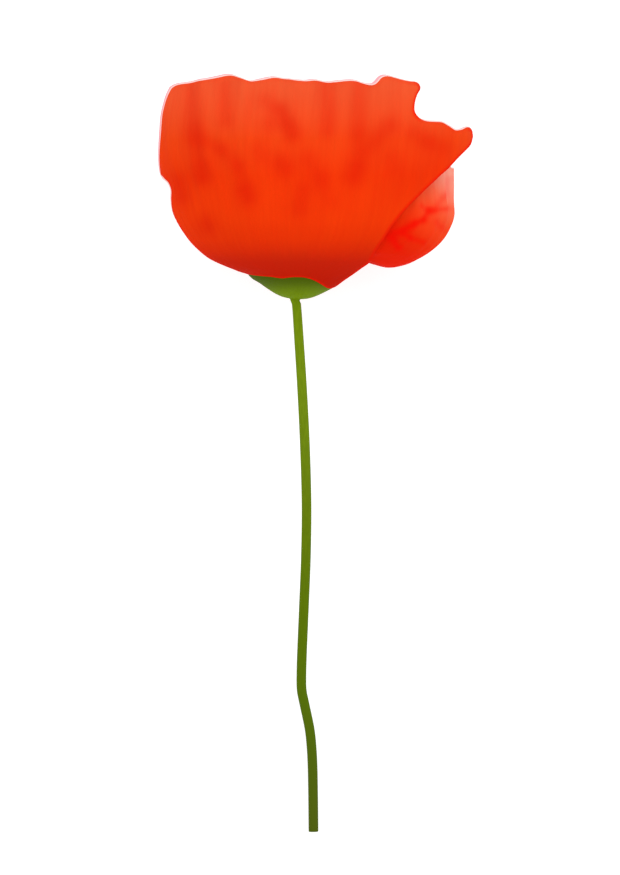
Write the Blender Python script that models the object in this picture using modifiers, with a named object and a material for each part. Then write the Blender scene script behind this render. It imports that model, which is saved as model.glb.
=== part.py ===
"""A cut poppy flower lying on its side: four petals in two layers round a receptacle, a pistil, a
ring of stamens, and a leafless stem.

Run it with: blender --background --python part.py

The sizes below are in millimetres, and the objects are in metres. The flower lies with its mouth
towards +Y and its stem towards -Y, and it rests on the petal below and on the stem's cut end.
The row's origin is the middle of the bounding box, on the surface that the flower lies on.

A petal is drawn on a cup. The cup has two layers, and in each one four meridians (front, back,
left, right) give how far the cup stands from the flower's axis at each height. Between two
meridians the cup is a quarter of an ellipse. Front is the side that faces up.
"""

import math

import bmesh
import bpy
import numpy as np
from mathutils import Matrix, Vector

MM = 0.001

# The flower as it lies.
AXIS_HEIGHT = 24.0  # the flower's axis, above the surface
LEAN = math.radians(4.0)  # the axis leans to the right of the photo's upright by this
PETAL_THICKNESS = 0.62
FLOOR_OF_PETAL = AXIS_HEIGHT - PETAL_THICKNESS / 2  # middle of the petal where it lies flat

# The photo is seen from above the flower. Shapes read off it are given as they show at the height
# of the view's plane, so what stands higher is a little smaller, and what lies lower is larger.
VIEW_FROM = (4.1, -38.1, 1358.0)
VIEW_PLANE = 30.0

# Receptacle: (radius, height above the neck), from the middle of its top down to the stem.
RECEPTACLE_TOP = 7.4
RECEPTACLE = [
    (0.0, RECEPTACLE_TOP), (8.6, 7.3), (11.2, 6.95), (12.1, 6.5), (12.2, 5.9), (11.2, 4.7),
    (9.4, 3.2), (7.0, 1.75), (4.4, 0.65), (2.4, 0.1), (1.5, -0.4), (1.2, -2.0), (0.0, -2.0),
]
RECEPTACLE_SIDES = 28

# Stem: (x, y, height of its centre line above the surface), from inside the receptacle to the cut.
STEM_RADIUS = 1.35
STEM_ROUTE = [
    (0.2, 2.0, 24.0), (0.4, -2.0, 23.6), (1.0, -10.0, 22.5), (1.9, -24.0, 20.3),
    (2.7, -40.0, 17.2), (3.15, -56.0, 13.8), (3.0, -70.0, 10.9), (2.5, -83.0, 8.4),
    (1.95, -96.0, 6.1), (1.75, -103.0, 5.0), (1.85, -107.2, 4.4), (2.6, -111.0, 3.9),
    (3.95, -117.5, 3.1), (4.5, -122.4, 2.6), (4.8, -128.0, 2.05), (4.95, -136.0, 1.55),
    (5.05, -145.7, 1.29),
]
STEM_STEPS_A_SPAN = 2

# Meridians of the cup: (distance from the axis, height above the neck) of the petals' middles.
OUTER_FRONT = [
    (10.7, 3.4), (11.5, 4.1), (13.1, 6.0), (15.8, 8.3), (19.6, 10.9), (23.6, 14.0), (27.0, 18.0),
    (29.3, 23.0), (30.6, 29.0), (31.2, 36.0), (31.2, 44.0), (31.1, 52.0), (31.9, 59.0), (33.2, 65.0),
]
OUTER_BACK = [
    (10.7, 3.4), (11.5, 4.1), (13.1, 6.0), (15.4, 8.2), (18.0, 10.6), (20.6, 13.6), (22.6, 17.4),
    (23.8, 22.0), (24.4, 28.0), (24.6, 36.0), (24.3, 44.0), (23.6, 52.0), (23.2, 59.0),
]
OUTER_LEFT = [
    (10.7, 3.4), (11.5, 4.1), (12.8, 5.5), (15.2, 6.3), (18.3, 7.0), (22.6, 8.3), (25.9, 9.8),
    (28.2, 11.2), (31.4, 14.3), (34.0, 17.5), (35.9, 20.8), (37.2, 24.8), (38.6, 29.5),
    (40.3, 34.0), (41.2, 40.0), (41.4, 47.0), (40.8, 54.0), (40.5, 65.0),
]
OUTER_RIGHT = [
    (10.7, 3.4), (11.5, 4.1), (15.0, 5.8), (19.5, 7.6), (25.0, 9.3), (31.0, 11.1), (35.5, 13.0),
    (39.5, 15.7), (42.2, 18.8), (44.0, 23.0), (45.0, 28.0), (45.6, 34.0), (46.3, 40.0),
    (47.0, 46.0), (47.0, 52.0), (46.0, 65.0),
]
INNER_FRONT = [
    (11.6, 7.3), (14.2, 9.2), (17.0, 11.2), (20.8, 14.0), (24.1, 18.0), (26.5, 23.0), (27.9, 29.0),
    (28.4, 36.0), (28.3, 44.0), (27.9, 52.0), (27.6, 60.0),
]
INNER_BACK = [
    (11.6, 7.3), (13.4, 9.1), (15.2, 11.1), (17.4, 14.0), (19.4, 18.0), (20.6, 23.0), (21.1, 29.0),
    (21.3, 36.0), (21.1, 44.0), (20.7, 52.0), (20.3, 60.0),
]
INNER_LEFT = [
    (11.6, 7.3), (14.5, 8.2), (18.5, 9.2), (22.0, 10.5), (25.2, 12.2), (28.0, 14.6), (30.6, 17.8),
    (32.6, 21.5), (34.2, 26.0), (35.6, 31.0), (36.6, 36.0), (37.1, 42.0), (37.1, 48.0),
    (36.6, 56.0),
]
INNER_RIGHT = [
    (11.6, 7.3), (15.2, 9.7), (19.3, 11.8), (24.4, 10.4), (29.2, 11.4), (33.1, 13.5), (36.3, 15.9),
    (38.7, 18.9), (40.3, 22.2), (41.2, 26.0), (40.9, 31.0), (40.3, 36.0), (39.3, 41.0),
    (37.9, 47.0),
]

# The front petal's edge as the photo shows it: (across, up) from the neck, in the photo's plane.
FRONT_BASE = [
    (-11.7, 6.4), (-10.0, 6.3), (-3.7, 5.7), (0.0, 6.0), (4.0, 5.5), (6.4, 4.5), (8.9, 3.4),
    (11.0, 3.2),
]
FRONT_LEFT = [
    (-11.7, 6.4), (-17.2, 8.2), (-21.4, 9.8), (-26.5, 13.1), (-30.3, 18.0), (-33.1, 23.0),
    (-33.6, 27.0), (-33.3, 29.9), (-35.5, 32.6), (-36.6, 36.5), (-36.4, 43.5), (-35.8, 50.8),
    (-34.8, 55.0), (-33.4, 57.5),
]
FRONT_TOP = [
    (-33.4, 57.5), (-24.8, 59.3), (-17.6, 60.6), (-11.3, 59.1), (-6.6, 60.2), (1.6, 59.1),
    (5.3, 59.6), (12.0, 58.7), (16.6, 59.3), (21.6, 57.9), (24.8, 60.4), (29.0, 59.5),
    (33.4, 58.7), (34.2, 57.2), (33.0, 53.8), (33.1, 50.2), (35.4, 48.4), (39.2, 48.0),
    (44.4, 45.8), (47.4, 46.4), (48.6, 44.4),
]
FRONT_RIGHT = [
    (11.0, 3.2), (15.9, 6.6), (19.9, 9.7), (21.3, 12.4), (24.6, 17.2), (29.8, 24.0), (36.1, 30.6),
    (42.4, 36.4), (46.8, 40.8), (48.6, 44.4),
]

# Edges of the other petals: (degrees from the petal's own middle, millimetres along it).
BACK_BASE = [(-42, 2.8), (-22, 3.2), (0, 3.4), (26, 3.2), (50, 2.8)]
BACK_LEFT = [
    (-42, 2.8), (-37, 6.0), (-37, 11.0), (-44, 17.0), (-51, 24.0), (-56, 32.0), (-58, 38.0),
    (-55, 44.0),
]
BACK_TOP = [
    (-55, 44.0), (-46, 48.5), (-34, 55.0), (-26, 54.3), (-16, 57.4), (-6, 55.6), (4, 57.2),
    (14, 55.4), (24, 57.0), (34, 54.6), (44, 55.0), (54, 52.6), (62, 50.0),
]
BACK_RIGHT = [
    (50, 2.8), (52, 6.0), (58, 11.0), (63, 18.0), (64, 25.0), (61, 30.0), (66, 36.0), (67, 44.0),
    (62, 50.0),
]
RIGHT_BASE = [(-36, 0.0), (-18, 0.2), (0, 0.0), (18, 0.2), (36, 0.0)]
RIGHT_LEFT = [(-36, 0.0), (-50, 8.0), (-60, 18.0), (-66, 28.0), (-69, 37.0), (-64, 46.0), (-52, 51.0)]
RIGHT_TOP = [
    (-52, 51.0), (-40, 53.8), (-31, 52.4), (-22, 54.0), (-12, 51.8), (-1, 51.2), (10, 52.4),
    (20, 54.6), (30, 53.0), (42, 53.4), (54, 50.0),
]
RIGHT_RIGHT = [(36, 0.0), (50, 8.0), (60, 18.0), (65, 28.0), (67, 37.0), (64, 45.0), (54, 50.0)]
LEFT_BASE = [(-34, 0.0), (-17, 0.2), (0, 0.0), (17, 0.2), (34, 0.0)]
LEFT_LEFT = [(-34, 0.0), (-50, 9.0), (-62, 19.0), (-68, 30.0), (-70, 41.0), (-66, 49.0), (-55, 54.0)]
LEFT_TOP = [
    (-55, 54.0), (-44, 58.4), (-33, 57.0), (-22, 59.0), (-11, 56.4), (0, 57.4), (11, 55.2),
    (22, 58.4), (33, 56.6), (45, 58.2), (57, 53.4),
]
LEFT_RIGHT = [(34, 0.0), (49, 9.0), (60, 19.0), (67, 30.0), (69, 41.0), (66, 48.0), (57, 53.4)]

# The right petal's claw is raised at its flanks, in the first part of its length.
CLAW_LIFT = 6.5
CLAW_LENGTH = 24.0

# Folds that run up a petal to the waves of its top edge. They stand straight out from the petal's
# middle, so that its outline stays as it is measured.
FOLD_START = 22.0  # along the petal, where they begin
FOLD_END = 60.0  # where they are deepest
FOLD_PITCH = 10.8  # from crest to crest, as the photo's top edge shows
DEGREES_A_FOLD = 21.0

# Pistil and stamens, by height above the neck.
SEAT_GAP = 0.3
OVARY = [
    (0.0, 19.6), (3.6, 19.4), (4.3, 18.6), (4.8, 16.6), (4.9, 14.4), (4.5, 12.0), (3.7, 9.8),
    (3.0, 8.4), (2.7, RECEPTACLE_TOP + SEAT_GAP), (0.0, RECEPTACLE_TOP + SEAT_GAP),
]
OVARY_SIDES = 30
RAYS = 10
RIB_DEPTH = 0.16
STIGMA_BASE = 19.6 + SEAT_GAP
STIGMA = [
    (0.0, 22.0), (1.6, 21.8), (3.4, 21.2), (4.7, 20.5), (5.3, 20.1), (5.1, STIGMA_BASE),
    (0.0, STIGMA_BASE),
]
STIGMA_SIDES = 40
RAY_HEIGHT = 0.45
COLLAR = [
    (3.5, 8.8), (7.2, 8.6), (7.9, 8.2), (7.9, RECEPTACLE_TOP + SEAT_GAP),
    (3.5, RECEPTACLE_TOP + SEAT_GAP),
]
COLLAR_SIDES = 20
WHORLS = [  # stamens, ring's radius, length, lean outwards in degrees at the root and at the tip
    (14, 4.7, 11.0, 10.0, 22.0), (18, 5.7, 12.8, 26.0, 46.0), (22, 6.9, 13.4, 42.0, 78.0),
]
FILAMENT_RADII = (0.36, 0.26)
FILAMENT_SIDES = 3
FILAMENT_STEPS = 2
ANTHER = (0.62, 0.5, 1.25)  # half width, half depth, half length
ANTHER_SINK = 0.7  # how far the filament's tip stands in the anther
GOLDEN_TURN = math.radians(137.5)

COLOURS = {  # linear base colour, roughness
    "petal": ((0.83, 0.050, 0.010), 0.55),
    "stem": ((0.130, 0.205, 0.012), 0.6),
    "ovary": ((0.22, 0.32, 0.08), 0.6),
    "stigma": ((0.060, 0.022, 0.020), 0.8),
    "stamens": ((0.012, 0.008, 0.016), 0.7),
}


def clear_scene():
    for thing in list(bpy.data.objects):
        bpy.data.objects.remove(thing)


def material(name):
    colour, roughness = COLOURS[name]
    made = bpy.data.materials.new(name)
    made.use_nodes = True
    shader = made.node_tree.nodes["Principled BSDF"]
    shader.inputs["Base Color"].default_value = (*colour, 1.0)
    shader.inputs["Roughness"].default_value = roughness
    return made


def curve_through(points, steps):
    """A smooth line through the points, with that many steps between neighbours."""
    given = np.array(points, float)
    ends = [2 * given[0] - given[1]], [2 * given[-1] - given[-2]]
    given = np.vstack([ends[0], given, ends[1]])
    t = np.linspace(0, 1, steps, endpoint=False)[:, None]
    spans = []
    for a, b, c, d in zip(given, given[1:], given[2:], given[3:]):
        bend = (2 * a - 5 * b + 4 * c - d) * t**2 + (3 * b - a - 3 * c + d) * t**3
        spans.append((2 * b + (c - a) * t + bend) / 2)
    return np.vstack([*spans, given[-2]])


def length_along(line):
    return np.concatenate([[0], np.cumsum(np.linalg.norm(np.diff(line, axis=0), axis=1))])


def spread(line, shares):
    """Points of a line at shares of its length, from 0 to 1."""
    gone = length_along(line)
    return np.column_stack([np.interp(shares * gone[-1], gone, column) for column in line.T])


class Cup:
    """One layer of the cup as one petal sees it: its own meridian, and the ones at its two sides."""

    def __init__(self, middle, side_minus, side_plus, claw_lift=0.0):
        self.claw_lift = claw_lift
        self.middle = curve_through(middle, 12)
        self.gone = length_along(self.middle)
        self.sides = [curve_through(side, 12) for side in (side_minus, side_plus)]

    def half_width(self, height, plus):
        minus_side, plus_side = [np.interp(height, s[:, 1], s[:, 0]) for s in self.sides]
        return np.where(plus, plus_side, minus_side)

    def point(self, angle, along, swell=0.0):
        """(across, up, out) where the petal is this far round, in radians, and this far along."""
        out = np.interp(along, self.gone, self.middle[:, 0])
        up = np.interp(along, self.gone, self.middle[:, 1])
        across = self.half_width(up, angle > 0) * np.sin(angle)
        claw = np.sin(math.pi * np.clip(along / CLAW_LENGTH, 0, 1))
        raised = up + self.claw_lift * (1 - np.cos(angle)) * claw
        return np.stack([across, raised, out * np.cos(angle) + swell], axis=-1)

    def unrolled(self, across, up):
        """(angle, along) of a point that is seen at this place from the petal's front."""
        half = self.half_width(up, across > 0)
        along = np.interp(up, self.middle[:, 1], self.gone)
        return np.stack([np.arcsin(np.clip(across / half, -1, 1)), along], axis=-1)


def placed(seen, height):
    """The place of what is seen here in the photo's plane, when it stands at this height."""
    centre = np.array(VIEW_FROM[:2])
    share = (VIEW_FROM[2] - height) / (VIEW_FROM[2] - VIEW_PLANE)
    return centre + (np.asarray(seen) - centre) * np.reshape(share, (-1, 1))


def edge_in_view(cup, points):
    """An edge read off the photo, as (angle, along) on the cup, which leans in the photo's plane."""
    seen = curve_through(points, 8)
    height = np.full(len(seen), VIEW_PLANE)
    for _ in range(5):
        across, up = placed(seen, height).T
        turned_across = across * math.cos(LEAN) - up * math.sin(LEAN)
        turned_up = across * math.sin(LEAN) + up * math.cos(LEAN)
        edge = cup.unrolled(turned_across, turned_up)
        height = AXIS_HEIGHT + cup.point(*edge.T)[:, 2]
    return edge


def edge_on_petal(points):
    line = curve_through(points, 8)
    return np.column_stack([np.radians(line[:, 0]), line[:, 1]])


def blended(base, top, left, right, u, v):
    """The point at (u, v) of the patch that fills four edges, each from 0 to 1."""
    reach = np.array([30.0, 1.0])  # a radian of angle counts as this many millimetres
    base_at, top_at = [spread(edge * reach, u) / reach for edge in (base, top)]
    left_at, right_at = [spread(edge * reach, v) / reach for edge in (left, right)]
    u, v = u[:, None], v[:, None]
    ruled = (1 - u) * left_at + u * right_at + (1 - v) * base_at + v * top_at
    corners = (1 - u) * ((1 - v) * base[0] + v * top[0]) + u * ((1 - v) * base[-1] + v * top[-1])
    return ruled - corners


def folds(angle, along, depth, phase):
    rise = np.clip((along - FOLD_START) / (FOLD_END - FOLD_START), 0, 1) ** 1.4
    calm = 1 - 0.5 * np.clip(np.abs(angle) / 1.2, 0, 1) ** 2
    waves = np.cos(math.tau * np.degrees(angle) / DEGREES_A_FOLD + phase)
    drift = 0.35 * np.sin(math.tau * np.degrees(angle) / (2.7 * DEGREES_A_FOLD) + 2 * phase)
    return depth * rise * calm * (waves + drift)


def petal(name, cup, edges, turn, columns, rows, fold_depth, fold_phase, head, skin):
    """A petal as an open sheet on its cup, given its thickness by a modifier."""
    mesh = bpy.data.meshes.new(name)
    sheet = bmesh.new()
    bmesh.ops.create_grid(sheet, x_segments=columns, y_segments=rows, size=1.0)
    places = np.array([vertex.co for vertex in sheet.verts])
    u, v = (places[:, 0] + 1) / 2, (places[:, 1] + 1) / 2
    angle, along = blended(*edges, u, v).T
    spots = cup.point(angle, along, folds(angle, along, fold_depth, fold_phase))
    around = Matrix.Rotation(math.radians(turn), 4, "Y")
    for vertex, spot in zip(sheet.verts, spots):
        vertex.co = around @ Vector(spot)
        vertex.co.z = max(vertex.co.z, -FLOOR_OF_PETAL)
        vertex.co *= MM
    bmesh.ops.triangulate(sheet, faces=sheet.faces[:], quad_method="SHORT_EDGE")
    bmesh.ops.recalc_face_normals(sheet, faces=sheet.faces[:])
    sheet.to_mesh(mesh)
    sheet.free()
    mesh.shade_smooth()
    made = bpy.data.objects.new(name, mesh)
    made.parent = head
    made.data.materials.append(skin)
    thickness = made.modifiers.new("thickness", "SOLIDIFY")
    thickness.thickness = PETAL_THICKNESS * MM
    thickness.offset = 0.0
    return made


def turned(name, profile, sides, skin, shape=None):
    """A closed turned solid on the Y axis from (radius, height) points, top to bottom."""
    spun = bmesh.new()
    dots = [spun.verts.new((radius * MM, height * MM, 0.0)) for radius, height in profile]
    for start, end in zip(dots, dots[1:]):
        spun.edges.new((start, end))
    if profile[0][0] > 0:
        spun.edges.new((dots[-1], dots[0]))
    bmesh.ops.spin(
        spun, geom=spun.verts[:] + spun.edges[:], cent=(0, 0, 0), axis=(0, 1, 0),
        angle=math.tau, steps=sides, use_merge=True,
    )
    bmesh.ops.remove_doubles(spun, verts=spun.verts[:], dist=1e-6)
    bmesh.ops.recalc_face_normals(spun, faces=spun.faces[:])
    for vertex in spun.verts:
        if shape:
            vertex.co = shape(vertex.co)
    bmesh.ops.triangulate(spun, faces=spun.faces[:])
    mesh = bpy.data.meshes.new(name)
    spun.to_mesh(mesh)
    spun.free()
    mesh.shade_smooth()
    mesh.set_sharp_from_angle(angle=math.radians(50))
    mesh.materials.append(skin)
    return bpy.data.objects.new(name, mesh)


def ribbed(spot):
    """Shallow ribs on the ovary, one under each ray, fading to its ends."""
    angle = math.atan2(spot.z, spot.x)
    share = (spot.y / MM - 7.7) / (19.6 - 7.7)
    fade = math.sin(math.pi * min(max(share, 0.0), 1.0))
    push = 1 + RIB_DEPTH / 4.9 * fade * math.cos(RAYS * angle)
    return Vector((spot.x * push, spot.y, spot.z * push))


def rayed(spot):
    """The stigma's rays stand up from the disc, and its rim is scalloped between them."""
    radius = math.hypot(spot.x, spot.z) / MM
    wave = math.cos(RAYS * math.atan2(spot.z, spot.x))
    ridge = max(wave, 0.0) ** 1.5
    on_top = spot.y / MM > STIGMA_BASE + 0.1
    lift = RAY_HEIGHT * ridge * min(radius / 1.6, 1.0) * MM if on_top else 0.0
    push = 1 + 0.05 * wave * min(radius / 5.0, 1.0)
    return Vector((spot.x * push, spot.y + lift, spot.z * push))


def stamen(name, turn, ring_radius, length, root_lean, tip_lean, skin):
    """A filament that bends outwards, with its anther, standing on the collar at that turn."""
    made = bmesh.new()
    bmesh.ops.create_circle(
        made, cap_ends=True, segments=FILAMENT_SIDES, radius=FILAMENT_RADII[0] * MM,
    )
    tip = made.faces[:]
    step = length / FILAMENT_STEPS
    lean = math.radians(root_lean)
    bend = math.radians(tip_lean - root_lean) / FILAMENT_STEPS
    bmesh.ops.rotate(made, verts=made.verts[:], matrix=Matrix.Rotation(lean, 3, "Y"))
    place = Vector((0.0, 0.0, 0.0))
    shrink = (FILAMENT_RADII[1] / FILAMENT_RADII[0]) ** (1 / FILAMENT_STEPS)
    for _ in range(FILAMENT_STEPS):
        way = Vector((math.sin(lean), 0.0, math.cos(lean)))
        grown = bmesh.ops.extrude_discrete_faces(made, faces=tip)["faces"]
        ring = list({vertex for face in grown for vertex in face.verts})
        bmesh.ops.translate(made, verts=ring, vec=way * step * MM)
        place += way * step * MM
        about = Matrix.Translation(-place)
        bmesh.ops.scale(made, verts=ring, vec=(shrink,) * 3, space=about)
        bmesh.ops.rotate(made, verts=ring, cent=place, matrix=Matrix.Rotation(bend, 3, "Y"))
        tip = grown
        lean += bend
    way = Vector((math.sin(lean), 0.0, math.cos(lean)))
    bmesh.ops.holes_fill(made, edges=made.edges[:])
    bmesh.ops.recalc_face_normals(made, faces=made.faces[:])
    filament = bpy.data.meshes.new(name)
    made.to_mesh(filament)
    made.free()

    pod = bmesh.new()
    bmesh.ops.create_uvsphere(pod, u_segments=5, v_segments=3, radius=1.0)
    bmesh.ops.scale(pod, verts=pod.verts[:], vec=Vector(ANTHER) * MM)
    bmesh.ops.rotate(pod, verts=pod.verts[:], matrix=Matrix.Rotation(lean, 3, "Y"))
    middle = place + way * (ANTHER[2] - ANTHER_SINK) * MM
    bmesh.ops.translate(pod, verts=pod.verts[:], vec=middle)
    anther = bpy.data.meshes.new(name + "_anther")
    pod.to_mesh(anther)
    pod.free()

    root = Vector((ring_radius * MM, 0.0, (RECEPTACLE_TOP + SEAT_GAP + 0.4) * MM))
    stand = (
        Matrix.Rotation(-math.pi / 2, 4, "X")
        @ Matrix.Rotation(turn, 4, "Z")
        @ Matrix.Translation(root)
    )
    pieces = []
    for mesh in (filament, anther):
        mesh.transform(stand)
        mesh.materials.append(skin)
        pieces.append(bpy.data.objects.new(mesh.name, mesh))
    return pieces


def joined(target, pieces, solver):
    """The target with the pieces fused in by one union, applied, and the pieces removed."""
    repeats = bpy.data.collections.new("repeats")
    bpy.context.scene.collection.children.link(repeats)
    for piece in pieces:
        repeats.objects.link(piece)
    union = target.modifiers.new("union", "BOOLEAN")
    union.operation = "UNION"
    union.operand_type = "COLLECTION"
    union.collection = repeats
    union.solver = solver
    graph = bpy.context.evaluated_depsgraph_get()
    mesh = bpy.data.meshes.new_from_object(target.evaluated_get(graph))
    target.modifiers.clear()
    mesh.name = target.name
    target.data = mesh
    for piece in list(repeats.objects):
        bpy.data.objects.remove(piece)
    bpy.data.collections.remove(repeats)


def stem(flower, root, skin):
    """The stem as a bevelled curve, made a mesh."""
    line = bpy.data.curves.new("stem_line", "CURVE")
    line.dimensions = "3D"
    line.bevel_depth = STEM_RADIUS * MM
    line.bevel_resolution = 3
    line.use_fill_caps = True
    spots = curve_through(STEM_ROUTE, STEM_STEPS_A_SPAN)
    spots[:, :2] = placed(spots[:, :2], spots[:, 2])
    spline = line.splines.new("POLY")
    spline.points.add(len(spots) - 1)
    for point, spot in zip(spline.points, spots):
        point.co = (*(spot * MM), 1.0)
    drawn = bpy.data.objects.new("stem_line", line)
    flower.objects.link(drawn)
    graph = bpy.context.evaluated_depsgraph_get()
    mesh = bpy.data.meshes.new_from_object(drawn.evaluated_get(graph))
    welded = bmesh.new()
    welded.from_mesh(mesh)
    bmesh.ops.remove_doubles(welded, verts=welded.verts[:], dist=1e-6)
    bmesh.ops.recalc_face_normals(welded, faces=welded.faces[:])
    welded.to_mesh(mesh)
    welded.free()
    bpy.data.objects.remove(drawn)
    mesh.materials.append(skin)
    made = bpy.data.objects.new("stem_and_receptacle", mesh)
    made.parent = root
    flower.objects.link(made)
    return made


def settle_on_origin(root, flower):
    """Moves the whole flower so that the origin is the middle of its box, on the surface."""
    bpy.context.view_layer.update()
    graph = bpy.context.evaluated_depsgraph_get()
    corners = []
    for thing in flower.objects:
        if thing.type == "MESH":
            there = thing.evaluated_get(graph)
            mesh = there.to_mesh()
            spots = np.empty(len(mesh.vertices) * 3, np.float32)
            mesh.vertices.foreach_get("co", spots)
            there.to_mesh_clear()
            world = np.array(there.matrix_world)
            corners.append(spots.reshape(-1, 3) @ world[:3, :3].T + world[:3, 3])
    spots = np.vstack(corners)
    low, high = spots.min(axis=0), spots.max(axis=0)
    root.location = (-(low[0] + high[0]) / 2, -(low[1] + high[1]) / 2, -low[2])


def build():
    clear_scene()
    flower = bpy.data.collections.new("poppy_flower")
    bpy.context.scene.collection.children.link(flower)
    skins = {name: material(name) for name in COLOURS}
    root = bpy.data.objects.new("flower_origin", None)
    head = bpy.data.objects.new("flower_head", None)
    flower.objects.link(root)
    flower.objects.link(head)
    head.parent = root
    head.location = (0.0, 0.0, AXIS_HEIGHT * MM)
    head.rotation_euler = (0.0, 0.0, -LEAN)

    front_cup = Cup(OUTER_FRONT, OUTER_LEFT, OUTER_RIGHT)
    back_cup = Cup(OUTER_BACK, OUTER_RIGHT, OUTER_LEFT)
    right_cup = Cup(INNER_RIGHT, INNER_FRONT, INNER_BACK, CLAW_LIFT)
    left_cup = Cup(INNER_LEFT, INNER_BACK, INNER_FRONT)
    front_edges = [
        edge_in_view(front_cup, edge) for edge in (FRONT_BASE, FRONT_TOP, FRONT_LEFT, FRONT_RIGHT)
    ]
    back_edges = [edge_on_petal(edge) for edge in (BACK_BASE, BACK_TOP, BACK_LEFT, BACK_RIGHT)]
    right_edges = [edge_on_petal(edge) for edge in (RIGHT_BASE, RIGHT_TOP, RIGHT_LEFT, RIGHT_RIGHT)]
    left_edges = [edge_on_petal(edge) for edge in (LEFT_BASE, LEFT_TOP, LEFT_LEFT, LEFT_RIGHT)]
    skin = skins["petal"]
    petals = [
        petal("petal_outer_front", front_cup, front_edges, 0, 30, 17, 1.0, 0.4, head, skin),
        petal("petal_outer_back", back_cup, back_edges, 180, 22, 14, 0.9, 1.9, head, skin),
        petal("petal_inner_right", right_cup, right_edges, 90, 22, 13, 0.8, 0.9, head, skin),
        petal("petal_inner_left", left_cup, left_edges, -90, 22, 13, 0.8, 2.6, head, skin),
    ]

    ovary = turned("ovary", OVARY, OVARY_SIDES, skins["ovary"], ribbed)
    stigma = turned("stigma_disc", STIGMA, STIGMA_SIDES, skins["stigma"], rayed)
    stamens = turned("stamens", COLLAR, COLLAR_SIDES, skins["stamens"])
    for piece in (*petals, ovary, stigma, stamens):
        piece.parent = head
        flower.objects.link(piece)

    pieces = []
    for whorl, (count, ring_radius, length, root_lean, tip_lean) in enumerate(WHORLS):
        for index in range(count):
            turn = math.tau * (index + 0.5 * (whorl % 2)) / count
            jitter = math.sin((index + 7 * whorl) * GOLDEN_TURN)
            pieces += stamen(
                f"stamen_{whorl}_{index}", turn, ring_radius, length + 0.7 * jitter,
                root_lean, tip_lean + 6.0 * jitter, skins["stamens"],
            )
    stamens.parent = None
    joined(stamens, pieces, "MANIFOLD")
    stamens.parent = head

    green = stem(flower, root, skins["stem"])
    receptacle = turned("receptacle", RECEPTACLE, RECEPTACLE_SIDES, skins["stem"])
    receptacle.data.transform(
        Matrix.Translation((0, 0, AXIS_HEIGHT * MM)) @ Matrix.Rotation(-LEAN, 4, "Z")
    )
    joined(green, [receptacle], "EXACT")
    settle_on_origin(root, flower)


build()
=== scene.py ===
# %% [markdown]
# # A cut poppy flower, lying on its side
# The fixed frame holds the solids that physics uses: four petals, the green stem with its
# receptacle, the ovary, its rayed cap and the ring of stamens. Here each of them is made again with
# a petal's real thinness, its crumples, its veins and its colours. All sizes below are in
# millimetres, measured from the neck where the stem meets the receptacle.

# %% Tools and the fixed frame
import math

import bmesh
import bpy
import numpy as np
from mathutils import Matrix, Vector


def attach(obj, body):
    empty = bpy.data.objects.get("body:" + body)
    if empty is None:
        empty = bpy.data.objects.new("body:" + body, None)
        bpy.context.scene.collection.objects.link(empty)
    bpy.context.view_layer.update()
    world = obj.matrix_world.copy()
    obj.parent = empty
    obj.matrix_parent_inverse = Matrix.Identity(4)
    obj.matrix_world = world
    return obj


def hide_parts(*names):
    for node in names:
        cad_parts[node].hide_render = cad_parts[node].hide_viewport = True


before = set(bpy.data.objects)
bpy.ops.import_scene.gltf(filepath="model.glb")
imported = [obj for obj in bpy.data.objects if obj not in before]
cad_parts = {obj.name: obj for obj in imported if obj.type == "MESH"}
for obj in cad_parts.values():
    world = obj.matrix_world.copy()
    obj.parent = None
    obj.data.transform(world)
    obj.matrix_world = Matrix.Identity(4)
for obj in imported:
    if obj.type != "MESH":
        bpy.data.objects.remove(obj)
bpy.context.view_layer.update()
MM = 0.001
NECK = Vector((-5.973, 44.498, 0.0))  # in the part's frame
AXIS_HEIGHT = 24.0  # the flower's axis, above the surface that it lies on
LEAN = math.radians(4.0)
HEAD = (
    Matrix.Scale(MM, 4) @ Matrix.Translation(NECK + Vector((0, 0, AXIS_HEIGHT)))
    @ Matrix.Rotation(-LEAN, 4, "Z")
)

# %% [markdown]
# ## Camera
# The flower lies down, so the camera looks straight down on it, which shows it the way the picture
# does. A long lens from 1.36 m keeps the deep cup from looking larger at its top. A camera that
# points down needs no turn at all: it looks along -Z, with +Y up in the picture.

# %% Camera over the flower
VIEW_FROM = (4.1, -38.1, 1358.0)  # beside the neck, above the surface
VIEW_PLANE = 30.0  # shapes read off the picture are given as they show at this height
VIEW_TALL = 239.1  # what the picture's height covers there

eye = bpy.data.cameras.new("camera")
eye.sensor_width = 36.0
eye.lens = 36.0 * (VIEW_FROM[2] - VIEW_PLANE) / VIEW_TALL
eye.clip_end = 20.0
camera = bpy.data.objects.new("camera", eye)
camera.location = (NECK + Vector(VIEW_FROM)) * MM
bpy.context.scene.collection.objects.link(camera)
bpy.context.scene.camera = camera
print("lens:", round(eye.lens, 1), "mm")

# %% [markdown]
# ## Lines and edges
# A petal's edge is a handful of measured points. A smooth line is drawn through them, and points
# are taken from it evenly by length, so that every edge of a petal can have as many as its sheet
# needs.

# %% Smooth lines through measured points
def curve_through(points, steps):
    """A smooth line through the points, with that many steps between neighbours."""
    given = np.array(points, float)
    given = np.vstack([2 * given[0] - given[1], given, 2 * given[-1] - given[-2]])
    t = np.linspace(0, 1, steps, endpoint=False)[:, None]
    spans = []
    for a, b, c, d in zip(given, given[1:], given[2:], given[3:]):
        bend = (2 * a - 5 * b + 4 * c - d) * t**2 + (3 * b - a - 3 * c + d) * t**3
        spans.append((2 * b + (c - a) * t + bend) / 2)
    return np.vstack([*spans, given[-2]])


def length_along(line):
    return np.concatenate([[0], np.cumsum(np.linalg.norm(np.diff(line, axis=0), axis=1))])


def spread(line, shares):
    """Points of a line at shares of its length, from 0 to 1."""
    gone = length_along(line)
    return np.column_stack([np.interp(shares * gone[-1], gone, column) for column in line.T])


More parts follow.
